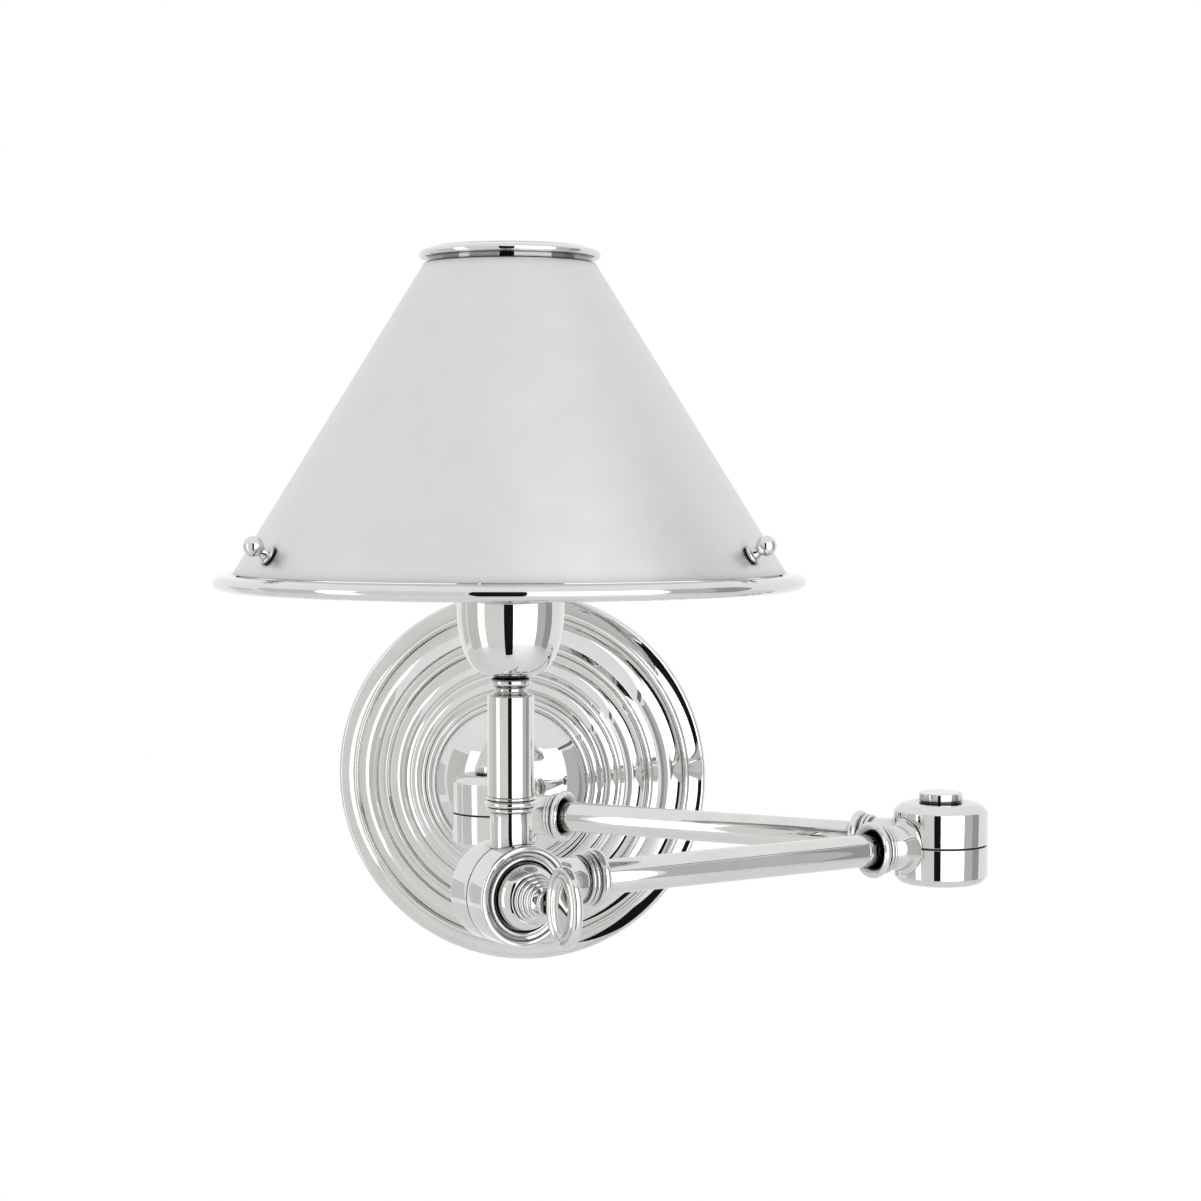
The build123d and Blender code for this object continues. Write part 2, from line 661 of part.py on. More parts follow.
def shade_carrier():
    """Ring on the cup's lip that the three arms are brazed to."""
    return ring(HOLDER_R + 0.1, HUB_R, CUP_TOP, CUP_TOP + CARRIER_T)


def carrier_arm(azimuth):
    """Flat arm from the ring to the sheet, with a tapped tab behind a thumb screw."""
    reach = thumb_r - 3.2
    strip = Pos((HUB_R + reach) / 2, 0, CUP_TOP + CARRIER_T / 2) * Box(reach - HUB_R + 4.0, 8.0, CARRIER_T)
    strip -= rod(HUB_R, CUP_TOP - 1, CUP_TOP + CARRIER_T + 1)
    strip &= rod(reach, CUP_TOP - 1, CUP_TOP + CARRIER_T + 1)
    tab = Pos(0, 0, -2.7) * Box(8.0, 9.0, 2.6)
    arm = Rot(0, 0, azimuth) * strip + thumb_frame(azimuth) * tab
    return arm - thumb_frame(azimuth) * rod(1.9, -6, 3)


def carrier_nut():
    """Ring nut with a grooved edge that clamps the carrier to the cup's lip."""
    low = CUP_TOP + CARRIER_T
    nut = ring(HOLDER_R + 0.02, 19.0, low, low + 4.6)
    nut = chamfer(nut.edges().group_by(Axis.Z)[-1].sort_by(SortBy.RADIUS)[-1], 0.5)
    for turn in range(24):
        nut -= Rot(0, 0, turn * 15) * Pos(19.5, 0, 0) * rod(0.9, low - 1, low + 6)
    return nut


def thumb_screw():
    """Ball-headed thumb screw, from its tip to the ball."""
    ball_r = 3.1
    ball_mid = 5.9
    neck_r = 1.5
    neck_top = ball_mid - sqrt(ball_r ** 2 - neck_r ** 2)
    return lathe(
        (0.0, -6.4),
        (1.4, -6.4),
        (1.88, -5.9),
        (1.88, 0.12),
        (2.6, 0.12),
        (3.1, 0.8, 2.6, 1.5),
        (2.0, 1.8),
        (neck_r, neck_top),
        (ball_r, ball_mid, 0.0, ball_mid + ball_r),
    )


nodes["shade_cone"] = at_post * shade_cone()
nodes["shade_rim_bead"] = at_post * rim_bead()
nodes["shade_top_collar"] = at_post * top_collar()
nodes["shade_carrier"] = at_post * shade_carrier()
nodes["carrier_arms"] = [at_post * carrier_arm(a) for a in THUMB_AZIMUTHS]
nodes["carrier_nut"] = at_post * carrier_nut()
nodes["shade_thumb_screws"] = [at_post * thumb_frame(a) * thumb_screw() for a in THUMB_AZIMUTHS]

# ---------------------------------------------------------------- export
os.makedirs("parts", exist_ok=True)
for name, shape in nodes.items():
    solids = []
    for piece in (shape if isinstance(shape, list) else [shape]):
        solids.extend(piece.solids())
    whole = solids[0] if len(solids) == 1 else Compound(children=solids)
    export_step(whole, "parts/" + name + ".step")
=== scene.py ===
import bmesh
import bpy
import json
from math import atan2, cos, hypot, pi, radians, sin, sqrt
from mathutils import Matrix, Vector


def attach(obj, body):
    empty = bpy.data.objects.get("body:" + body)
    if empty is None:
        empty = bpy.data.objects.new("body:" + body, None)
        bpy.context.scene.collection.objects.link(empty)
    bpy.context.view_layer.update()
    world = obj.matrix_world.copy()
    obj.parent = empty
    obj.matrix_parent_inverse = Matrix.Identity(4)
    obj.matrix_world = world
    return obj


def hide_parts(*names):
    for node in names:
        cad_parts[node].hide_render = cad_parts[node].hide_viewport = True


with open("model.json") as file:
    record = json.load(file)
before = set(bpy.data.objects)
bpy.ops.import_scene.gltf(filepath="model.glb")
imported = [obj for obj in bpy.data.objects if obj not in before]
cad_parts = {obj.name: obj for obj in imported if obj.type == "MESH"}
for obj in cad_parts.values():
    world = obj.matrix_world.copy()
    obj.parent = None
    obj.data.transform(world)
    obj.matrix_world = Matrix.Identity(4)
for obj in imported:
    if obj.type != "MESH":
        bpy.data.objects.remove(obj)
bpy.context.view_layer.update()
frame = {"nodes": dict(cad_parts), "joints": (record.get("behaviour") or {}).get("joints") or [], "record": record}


# ---------------------------------------------------------------- places, from the frame
joints = {joint["name"]: joint for joint in frame["joints"]}
WALL = Vector(joints["wall_swivel"]["pos_m"])
ELBOW = Vector(joints["elbow_swivel"]["pos_m"])
DRUM = Vector(joints["head_tilt"]["pos_m"])
DRUM_AXIS = Vector(joints["head_tilt"]["axis"])
UP = Vector((0, 0, 1))


# ---------------------------------------------------------------- materials
def new_material(name):
    material = bpy.data.materials.new(name)
    material.use_nodes = True
    tree = material.node_tree
    return material, tree.nodes, tree.links, tree.nodes["Principled BSDF"]


def ramp(nodes, stops):
    node = nodes.new("ShaderNodeValToRGB")
    node.color_ramp.elements[0].position = stops[0][0]
    node.color_ramp.elements[0].color = (*stops[0][1], 1)
    node.color_ramp.elements[1].position = stops[-1][0]
    node.color_ramp.elements[1].color = (*stops[-1][1], 1)
    for position, colour in stops[1:-1]:
        node.color_ramp.elements.new(position).color = (*colour, 1)
    return node


CLOUD_LOW, CLOUD_HIGH = 0.3, 0.7    # part of the noise that the tints and the polish spread over
PAINTED_SHADE_REACH = 0.004                # how far the painted shade spreads from a crease, in metres
# dark colour that the painted shade multiplies into creases
PAINTED_SHADE_TINT = (0.1, 0.1, 0.1)
METAL_GRAIN = 90.0
SCRATCH_GRAIN = 900.0
SCRATCH_DEPTH = 0.00002
DULL_GRAIN = 160.0


def metal(name, dark, light, rough_low, rough_high, brush=0.0):
    """Metal with clouded tint, painted shade darkening its creases, uneven polish and fine scratches."""
    material, nodes, links, shader = new_material(name)
    shader.inputs["Metallic"].default_value = 1.0
    place = nodes.new("ShaderNodeTexCoord")
    cloud = nodes.new("ShaderNodeTexNoise")
    cloud.inputs["Scale"].default_value = METAL_GRAIN
    cloud.inputs["Detail"].default_value = 5.0
    links.new(place.outputs["Object"], cloud.inputs["Vector"])
    tint = ramp(nodes, [(CLOUD_LOW, dark), (CLOUD_HIGH, light)])
    links.new(cloud.outputs["Fac"], tint.inputs["Fac"])
    # Painted shade: ambient occlusion darkens the base colour in creases, grooves and hollows.
    crease = nodes.new("ShaderNodeAmbientOcclusion")
    crease.samples = 6
    crease.inputs["Distance"].default_value = PAINTED_SHADE_REACH
    painted_shade = ramp(nodes, [(0.3, PAINTED_SHADE_TINT), (0.92, (1.0, 1.0, 1.0))])
    links.new(crease.outputs["AO"], painted_shade.inputs["Fac"])
    shaded_tint = nodes.new("ShaderNodeVectorMath")
    shaded_tint.operation = "MULTIPLY"
    links.new(tint.outputs["Color"], shaded_tint.inputs[0])
    links.new(painted_shade.outputs["Color"], shaded_tint.inputs[1])
    links.new(shaded_tint.outputs["Vector"], shader.inputs["Base Color"])
    polish = nodes.new("ShaderNodeMapRange")
    polish.inputs["From Min"].default_value = CLOUD_LOW
    polish.inputs["From Max"].default_value = CLOUD_HIGH
    polish.inputs["To Min"].default_value = rough_low
    polish.inputs["To Max"].default_value = rough_high
    links.new(cloud.outputs["Fac"], polish.inputs["Value"])
    links.new(polish.outputs["Result"], shader.inputs["Roughness"])
    if brush:
        scratches = nodes.new("ShaderNodeTexNoise")
        scratches.inputs["Scale"].default_value = SCRATCH_GRAIN
        scratches.inputs["Detail"].default_value = 3.0
        links.new(place.outputs["Object"], scratches.inputs["Vector"])
        bump = nodes.new("ShaderNodeBump")
        bump.inputs["Strength"].default_value = brush
        bump.inputs["Distance"].default_value = SCRATCH_DEPTH
        links.new(scratches.outputs["Fac"], bump.inputs["Height"])
        links.new(bump.outputs["Normal"], shader.inputs["Normal"])
    return material


polished = metal("polished_nickel", (0.69, 0.685, 0.675), (0.735, 0.73, 0.72), 0.015, 0.045)
satin = metal("shade_nickel", (0.675, 0.67, 0.665), (0.70, 0.697, 0.69), 0.32, 0.38, brush=0.1)
brass = metal("brass", (0.70, 0.50, 0.24), (0.82, 0.62, 0.33), 0.18, 0.32, brush=0.3)
zinc = metal("zinc_steel", (0.55, 0.56, 0.58), (0.68, 0.69, 0.70), 0.28, 0.42, brush=0.4)


def dull(name, dark, light, rough_low, rough_high):
    """Nonmetal with clouded tint and uneven roughness."""
    material, nodes, links, shader = new_material(name)
    place = nodes.new("ShaderNodeTexCoord")
    cloud = nodes.new("ShaderNodeTexNoise")
    cloud.inputs["Scale"].default_value = DULL_GRAIN
    cloud.inputs["Detail"].default_value = 6.0
    links.new(place.outputs["Object"], cloud.inputs["Vector"])
    tint = ramp(nodes, [(CLOUD_LOW, dark), (CLOUD_HIGH, light)])
    links.new(cloud.outputs["Fac"], tint.inputs["Fac"])
    links.new(tint.outputs["Color"], shader.inputs["Base Color"])
    polish = nodes.new("ShaderNodeMapRange")
    polish.inputs["To Min"].default_value = rough_low
    polish.inputs["To Max"].default_value = rough_high
    links.new(cloud.outputs["Fac"], polish.inputs["Value"])
    links.new(polish.outputs["Result"], shader.inputs["Roughness"])
    return material


porcelain = dull("porcelain", (0.80, 0.79, 0.75), (0.88, 0.87, 0.84), 0.35, 0.55)
nylon = dull("seam_nylon", (0.012, 0.012, 0.012), (0.03, 0.03, 0.03), 0.4, 0.6)
insulation = dull("lead_insulation", (0.70, 0.69, 0.66), (0.80, 0.79, 0.76), 0.35, 0.5)
green = dull("green_screw", (0.02, 0.16, 0.05), (0.04, 0.24, 0.08), 0.25, 0.45)
by_slot = {
    "polished_nickel": polished,
    "shade_nickel": satin,
    "brass": brass,
    "zinc_steel": zinc,
    "porcelain": porcelain,
    "seam_nylon": nylon,
    "lead_insulation": insulation,
    "green_screw": green,
}
for entry in frame["record"]["subparts"]:
    node = frame["nodes"][entry["node"]]
    node.data.materials.clear()
    node.data.materials.append(by_slot[entry["material_slot"]])
    node.data.shade_smooth()


# ---------------------------------------------------------------- mesh helpers, outlines in millimetres
MM = 0.001
SEGMENTS = 144              # round the small turned pieces
WIDE_SEGMENTS = 256         # round the plate and the shade
EDGE = 0.22                 # radius of the softened edges
TRIM_EDGE = 0.12            # the same on mouldings and collars
FINE_EDGE = 0.1             # the same on the smallest rings
SHARPEST = radians(18)      # corners that turn more than this are softened


def through(a, mid, b, steps):
    """Points on the circle through three points, after a and up to b."""
    (ax, ay), (mx, my), (bx, by) = a, mid, b
    d = 2 * (ax * (my - by) + mx * (by - ay) + bx * (ay - my))
    a2, m2, b2 = ax * ax + ay * ay, mx * mx + my * my, bx * bx + by * by
    cx = (a2 * (my - by) + m2 * (by - ay) + b2 * (ay - my)) / d
    cy = (a2 * (bx - mx) + m2 * (ax - bx) + b2 * (mx - ax)) / d
    start = atan2(ay - cy, ax - cx)
    middle = (atan2(my - cy, mx - cx) - start) % (2 * pi)
    end = (atan2(by - cy, bx - cx) - start) % (2 * pi)
    if middle > end:
        end -= 2 * pi
    radius = hypot(ax - cx, ay - cy)
    points = []
    for step in range(1, steps + 1):
        angle = start + end * step / steps
        points.append((cx + radius * cos(angle), cy + radius * sin(angle)))
    return points


def trace(*steps):
    """Points of an outline: a pair is a corner, four numbers an arc's middle and end."""
    points = [steps[0]]
    for step in steps[1:]:
        if len(step) == 2:
            points.append(step)
        else:
            points.extend(through(points[-1], step[:2], step[2:], 10))
    return points


def soften(points, radius=EDGE):
    """Closed outline with a small round at each sharp corner that is off the axis."""
    soft = []
    count = len(points)
    for i, point in enumerate(points):
        here = Vector(point)
        before = Vector(points[i - 1]) - here
        after = Vector(points[(i + 1) % count]) - here
        turn = pi - before.angle(after, 0)
        if point[0] < 0.01 or turn < SHARPEST:
            soft.append(point)
            continue
        reach = min(radius, before.length * 0.4, after.length * 0.4)
        first = here + before.normalized() * reach
        last = here + after.normalized() * reach
        for step in range(4):
            t = step / 3
            soft.append(tuple(first * (1 - t) ** 2 + here * 2 * t * (1 - t) + last * t * t))
    return soft


def new_piece(name, verts, faces, place, body, slot, *nodes):
    """Mesh piece in millimetres, put in place, riding on a body and standing for its CAD nodes."""
    mesh = bpy.data.meshes.new(name)
    mesh.from_pydata([tuple(Vector(v) * MM) for v in verts], [], faces)
    edit = bmesh.new()
    edit.from_mesh(mesh)
    bmesh.ops.remove_doubles(edit, verts=edit.verts, dist=1e-7)
    bmesh.ops.recalc_face_normals(edit, faces=edit.faces)
    edit.to_mesh(mesh)
    edit.free()
    mesh.transform(place)
    mesh.materials.append(by_slot[slot])
    mesh.shade_smooth()
    piece = bpy.data.objects.new(name, mesh)
    bpy.context.scene.collection.objects.link(piece)
    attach(piece, body)
    if nodes:
        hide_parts(*nodes)
    return piece


def turned_mesh(points, segments=SEGMENTS):
    """Vertices and faces of a closed outline turned about Z."""
    verts, rings, faces = [], [], []
    for r, z in points:
        if r < 1e-4:
            rings.append([len(verts)])
            verts.append((0, 0, z))
            continue
        rings.append(list(range(len(verts), len(verts) + segments)))
        for k in range(segments):
            angle = 2 * pi * k / segments
            verts.append((r * cos(angle), r * sin(angle), z))
    for i, ring_a in enumerate(rings):
        ring_b = rings[(i + 1) % len(rings)]
        if len(ring_a) == 1 and len(ring_b) == 1:
            continue
        for k in range(segments):
            n = (k + 1) % segments
            if len(ring_a) == 1:
                faces.append((ring_a[0], ring_b[k], ring_b[n]))
            elif len(ring_b) == 1:
                faces.append((ring_a[k], ring_a[n], ring_b[0]))
            else:
                faces.append((ring_a[k], ring_a[n], ring_b[n], ring_b[k]))
    return verts, faces


def lathe(name, steps, place, body, slot, *nodes, segments=SEGMENTS, radius=EDGE):
    """Piece turned about the local Z axis from an outline of corners and arcs."""
    verts, faces = turned_mesh(soften(trace(*steps), radius), segments)
    return new_piece(name, verts, faces, place, body, slot, *nodes)


def frame_at(origin, z_dir, x_dir):
    """Matrix of a local frame at origin, with Z along z_dir and X near x_dir."""
    z = Vector(z_dir).normalized()
    x = (Vector(x_dir) - z * Vector(x_dir).dot(z)).normalized()
    y = z.cross(x)
    turn = Matrix((x, y, z)).transposed().to_4x4()
    return Matrix.Translation(origin) @ turn


# ---------------------------------------------------------------- sizes, in millimetres, as in the CAD part
NICKEL = "polished_nickel"
PLATE_R = 76.2
DOME_TOP = 38.5
ROSE_BORE = 5.62
KNUCKLE_R = 16.5
KNUCKLE_UP = 11.9
KNUCKLE_DOWN = 11.0
KNUCKLE_FOOT = 13.6
CAP_TOP = 14.9
BUTTON_R = 7.6
BUTTON_TOP = 18.2
SEAM = 0.3
PIVOT_HOLE = 4.05
WEB = 3.7
CAVITY_R = 7.0
CAVITY_TOP = 11.7
STUB_R = 7.6
STUB_END = 25.5
COLLAR_END = 31.8
STUB_BORE = 3.2
TUBE_R = 5.65
TUBE_WALL = 1.2
TUBE_SEAT = 26.6
DRUM_R = 16.0
DRUM_FRONT = 9.8
DRUM_BACK = 11.2
DRUM_DROP = 2.0
SCREW_BORE = 3.05
BOSS_TOP = 14.2
RINGS_H = 8.7
KEY_MID = 32.4
KEY_TALL = 25.6
KEY_WIDE = 18.5
KEY_THICK = 3.2
FERRULE_R = 6.6
FERRULE_TOP = 23.9
POST_R = 7.4
POST_FOOT = 28.6
POST_TOP = 60.5
NECK_TOP = 66.7
NIPPLE_HOLE = 4.1
POST_BORE = 6.2
CUP_FOOT_R = 7.8
CUP_SHOULDER = 20.0
CUP_R = 16.8
CUP_TOP = 103.9
CUP_WALL = 1.2
SHADE_FOOT = 98.7
SHADE_FOOT_R = 85.9
SHADE_HEAD = 194.0
SHADE_HEAD_R = 27.0
SHEET = 0.8
BEAD_MID = 96.0
BEAD_MID_R = 88.25
BEAD_HALF_H = 2.5
BEAD_HALF_W = 4.0
SCREW_UP = 104.9
THUMB_AZIMUTHS = (99.4, 219.4, 339.4)

arm_1_dir = (ELBOW - WALL).normalized()
ARM_2_END = DRUM + UP * (DRUM_DROP * MM)
arm_2_dir = (ARM_2_END - ELBOW).normalized()
ARM_1_LEN = (ELBOW - WALL).length / MM
ARM_2_LEN = (ARM_2_END - ELBOW).length / MM
off_wall = frame_at((0, 0, 0), (0, -1, 0), (1, 0, 0))
at_wall = frame_at(WALL, UP, (1, 0, 0))
at_elbow = frame_at(ELBOW, UP, (1, 0, 0))
at_drum = frame_at(DRUM, DRUM_AXIS, UP)
at_post = frame_at(ARM_2_END, UP, (1, 0, 0))


# ---------------------------------------------------------------- wall plate
lathe(
    "plate_shell",
    [
        (PLATE_R, 0.0),
        (PLATE_R, 2.0),
        (75.8, 3.2, 74.6, 3.6),
        (69.8, 4.4),
        (68.6, 6.0, 67.2, 5.0),
        (61.6, 6.2, 57.8, 10.2),
        (55.6, 10.4),
        (54.6, 11.6, 53.2, 11.2),
        (52.4, 12.2),
        (47.2, 13.2, 44.8, 16.8),
        (43.6, 17.0),
        (43.0, 18.2, 41.8, 18.4),
        (38.6, 19.8, 37.2, 23.6),
        (36.0, 23.8),
        (33.4, 24.4, 32.6, 26.6),
        (31.6, 27.8, 30.2, 27.6),
        (21.0, 34.8, 9.0, DOME_TOP),
        (4.2, DOME_TOP),
        (4.2, DOME_TOP - 2.4),
        (9.0, DOME_TOP - 2.4),
        (20.0, 33.2, 28.6, 26.6),
        (34.6, 21.6),
        (41.2, 15.6),
        (50.8, 9.8),
        (56.0, 8.2),
        (64.6, 4.0),
        (72.6, 2.4),
        (73.4, 0.0),
    ],
    off_wall, "wall", NICKEL, "wall_plate", segments=WIDE_SEGMENTS,
)
lathe(
    "rose",
    [
        (ROSE_BORE, DOME_TOP),
        (9.4, DOME_TOP),
        (10.4, DOME_TOP + 1.1, 9.2, DOME_TOP + 2.0),
        (7.4, DOME_TOP + 2.4),
        (6.6, DOME_TOP + 3.4, 6.3, DOME_TOP + 4.6),
        (ROSE_BORE, DOME_TOP + 4.6),
    ],
    off_wall, "wall", NICKEL, "stub_rose", radius=TRIM_EDGE,
)


# ---------------------------------------------------------------- swivels
UPPER_HALF = [
    (0.0, CAVITY_TOP),
    (CAVITY_R, CAVITY_TOP),
    (CAVITY_R, SEAM + WEB),
    (PIVOT_HOLE, SEAM + WEB),
    (PIVOT_HOLE, SEAM),
    (KNUCKLE_R, SEAM),
    (KNUCKLE_R, KNUCKLE_UP),
    (KNUCKLE_R - 0.45, KNUCKLE_UP + 0.15),
    (14.2, CAP_TOP - 1.1, 10.6, CAP_TOP - 0.2),
    (BUTTON_R - 0.2, CAP_TOP),
    (0.0, CAP_TOP),
]
LOWER_HALF = [
    (0.0, -SEAM),
    (KNUCKLE_R, -SEAM),
    (KNUCKLE_R, -KNUCKLE_DOWN),
    (KNUCKLE_R - 0.45, -KNUCKLE_DOWN - 0.15),
    (15.0, -KNUCKLE_FOOT + 0.8, 12.8, -KNUCKLE_FOOT),
    (0.0, -KNUCKLE_FOOT),
]
BUTTON = [
    (0.0, CAP_TOP - 1.0),
    (BUTTON_R - 0.5, CAP_TOP - 1.0),
    (BUTTON_R - 0.5, CAP_TOP + 0.2),
    (BUTTON_R, CAP_TOP + 0.5),
    (BUTTON_R, BUTTON_TOP - 0.7),
    (BUTTON_R - 0.2, BUTTON_TOP - 0.2, BUTTON_R - 0.8, BUTTON_TOP),
    (4.0, BUTTON_TOP),
    (0.0, BUTTON_TOP),
]


def saddle(name, place, joint_r, stub_r, end, flare, own, body, *nodes, aside=0.0):
    """Hollow stub along local Z, with a flared foot that hugs a joint's cylinder.

    The cylinder has radius joint_r and runs along local X at Y = aside. The foot sinks into its own
    half of the joint, on the own side of local X, and clears the other.
    """
    flare_x, flare_y = flare
    rows = [  # part of the flare, height if it is level, height above the joint's surface if not
        (1.0, None, -0.3), (0.7, None, 0.3), (0.4, None, 0.8), (0.17, None, 1.5), (0.04, None, 2.5),
        (0.0, None, 3.6), (0.0, end - 0.15, 0), (-0.15, end, 0), (-2.0, end, 0), (-2.0, None, 1.0),
    ]
    verts, faces = [], []
    for widen, level, off in rows:
        for k in range(SEGMENTS):
            angle = 2 * pi * k / SEGMENTS
            reach_x = stub_r + widen * (flare_x if widen > 0 else 1)
            reach_y = stub_r + widen * (flare_y if widen > 0 else 1)
            x, y = reach_x * cos(angle), reach_y * sin(angle)
            lift = off
            if off < 0 and x * own < 0.4:
                lift = 0.14
            z = level if level is not None else sqrt(joint_r ** 2 - (y - aside) ** 2) + lift
            verts.append((x, y, z))
    for i in range(len(rows)):
        j = (i + 1) % len(rows)
        for k in range(SEGMENTS):
            n = (k + 1) % SEGMENTS
            faces.append((i * SEGMENTS + k, i * SEGMENTS + n, j * SEGMENTS + n, j * SEGMENTS + k))
    return new_piece(name, verts, faces, place, body, NICKEL, *nodes)


for joint, place, above, below in (("wall", at_wall, "wall", "arm_1"), ("elbow", at_elbow, "arm_1", "arm_2")):
    lathe(f"{joint}_upper_half", UPPER_HALF, place, above, NICKEL, f"{joint}_knuckle_upper")
    lathe(f"{joint}_lower_half", LOWER_HALF, place, below, NICKEL, f"{joint}_knuckle_lower")
    lathe(f"{joint}_cap", BUTTON, place, above, NICKEL, f"{joint}_button", radius=FINE_EDGE)

plate_side = frame_at(WALL, (0, 1, 0), UP)
lathe(
    "wall_stub",
    [(3.9, 14.0), (5.6, 14.0), (5.6, 27.4), (3.9, 27.4)],
    plate_side @ Matrix.Translation((-WALL.z, 0, 0)), "wall", NICKEL, "wall_knuckle_upper",
)
out_1 = frame_at(WALL, arm_1_dir, UP)
back_1 = frame_at(ELBOW, -arm_1_dir, UP)
out_2 = frame_at(ELBOW, arm_2_dir, UP)
back_2 = frame_at(ARM_2_END, -arm_2_dir, UP)
SWIVEL_FLARE = (2.6, 0.15)
for name, place, own, body, node in (
    ("arm_1_wall_stub", out_1, -1, "arm_1", "wall_knuckle_lower"),
    ("arm_1_elbow_stub", back_1, 1, "arm_1", "elbow_knuckle_upper"),
    ("arm_2_elbow_stub", out_2, -1, "arm_2", "elbow_knuckle_lower"),
):
    saddle(name, place, KNUCKLE_R, STUB_R, STUB_END, SWIVEL_FLARE, own, body, node)


# ---------------------------------------------------------------- arms
COLLAR = [
    (STUB_BORE, STUB_END),
    (STUB_R, STUB_END),
    (STUB_R + 0.9, STUB_END + 0.7, STUB_R + 0.1, STUB_END + 1.4),
    (STUB_R + 1.1, STUB_END + 2.1, STUB_R + 0.2, STUB_END + 2.8),
    (STUB_R + 0.6, STUB_END + 3.3),
    (STUB_R + 2.1, STUB_END + 4.6, STUB_R + 1.8, COLLAR_END - 0.3),
    (STUB_R + 1.1, COLLAR_END),
    (TUBE_R + 1.1, COLLAR_END - 1.1, TUBE_R + 0.02, COLLAR_END - 2.6),
    (TUBE_R + 0.02, TUBE_SEAT),
    (STUB_BORE, TUBE_SEAT),
]


def tube(length):
    return [
        (TUBE_R - TUBE_WALL, TUBE_SEAT),
        (TUBE_R, TUBE_SEAT),
        (TUBE_R, length - TUBE_SEAT),
        (TUBE_R - TUBE_WALL, length - TUBE_SEAT),
    ]


for arm, out, back, length, near, far in (
    ("arm_1", out_1, back_1, ARM_1_LEN, "wall", "elbow"),
    ("arm_2", out_2, back_2, ARM_2_LEN, "elbow", "tilt"),
):
    lathe(f"{arm}_collar_near", COLLAR, out, arm, NICKEL, f"{arm}_{near}_collar", radius=TRIM_EDGE)
    lathe(f"{arm}_bar", tube(length), out, arm, NICKEL, f"{arm}_tube")
    lathe(f"{arm}_collar_far", COLLAR, back, arm, NICKEL, f"{arm}_{far}_collar", radius=TRIM_EDGE)


# ---------------------------------------------------------------- tilt joint and key
lathe(
    "drum_rear",
    [
        (0.0, -8.0),
        (SCREW_BORE, -8.0),
        (SCREW_BORE, -SEAM),
        (DRUM_R, -SEAM),
        (DRUM_R, -DRUM_BACK + 1.2),
        (DRUM_R - 0.4, -DRUM_BACK + 0.3, DRUM_R - 1.4, -DRUM_BACK),
        (12.4, -DRUM_BACK),
        (11.4, -DRUM_BACK + 0.7),
        (7.2, -DRUM_BACK - 0.8, 2.0, -DRUM_BACK - 1.6),
        (0.0, -DRUM_BACK - 1.6),
    ],
    at_drum, "arm_2", NICKEL, "tilt_drum_back",
)
saddle(
    "arm_2_tilt_stub", frame_at(ARM_2_END, -arm_2_dir, DRUM_AXIS),
    DRUM_R, STUB_R, STUB_END, (0.8, 0.8), -1, "arm_2", "tilt_drum_back", aside=DRUM_DROP,
)
lathe(
    "drum_fore",
    [
        (SCREW_BORE, SEAM),
        (DRUM_R, SEAM),
        (DRUM_R, DRUM_FRONT - 0.9),
        (DRUM_R - 0.3, DRUM_FRONT - 0.2, DRUM_R - 1.0, DRUM_FRONT),
        (DRUM_R - 1.9, DRUM_FRONT - 0.2, DRUM_R - 2.3, DRUM_FRONT - 1.0),
        (12.6, DRUM_FRONT - 1.3),
        (11.8, DRUM_FRONT - 0.3, 11.0, DRUM_FRONT - 1.1),
        (10.8, DRUM_FRONT - 1.3),
        (SCREW_BORE, DRUM_FRONT - 1.3),
    ],
    at_drum, "head", NICKEL, "tilt_drum_front", radius=TRIM_EDGE,
)
saddle(
    "post_ferrule", frame_at(DRUM, UP, DRUM_AXIS),
    DRUM_R, FERRULE_R, FERRULE_TOP + DRUM_DROP, (0.3, 0.3), 1, "head", "tilt_drum_front",
)
face = DRUM_FRONT - 1.3
lathe(
    "drum_boss",
    [
        (SCREW_BORE, face),
        (10.6, face),
        (10.4, face + 0.7),
        (9.7, face + 3.8, 7.8, BOSS_TOP),
        (SCREW_BORE, BOSS_TOP),
    ],
    at_drum, "head", NICKEL, "tilt_boss", radius=TRIM_EDGE,
)
rings_low = BOSS_TOP + 0.08
lathe(
    "key_rings",
    [
        (0.0, -7.0),
        (2.4, -7.0),
        (3.0, -6.4),
        (3.0, rings_low),
        (6.5, rings_low),
        (7.4, rings_low + 0.7, 6.4, rings_low + 1.4),
        (6.6, rings_low + 2.2, 5.6, rings_low + 2.9),
        (5.7, rings_low + 3.6, 4.8, rings_low + 4.3),
        (4.8, rings_low + 4.9, 4.0, rings_low + 5.5),
        (2.9, rings_low + 5.9),
        (2.5, rings_low + 6.7, 3.2, rings_low + 7.3),
        (3.9, rings_low + 8.0, 3.0, rings_low + RINGS_H),
        (0.0, rings_low + RINGS_H),
    ],
    at_drum, "key", NICKEL, "clamp_screw", radius=FINE_EDGE,
)


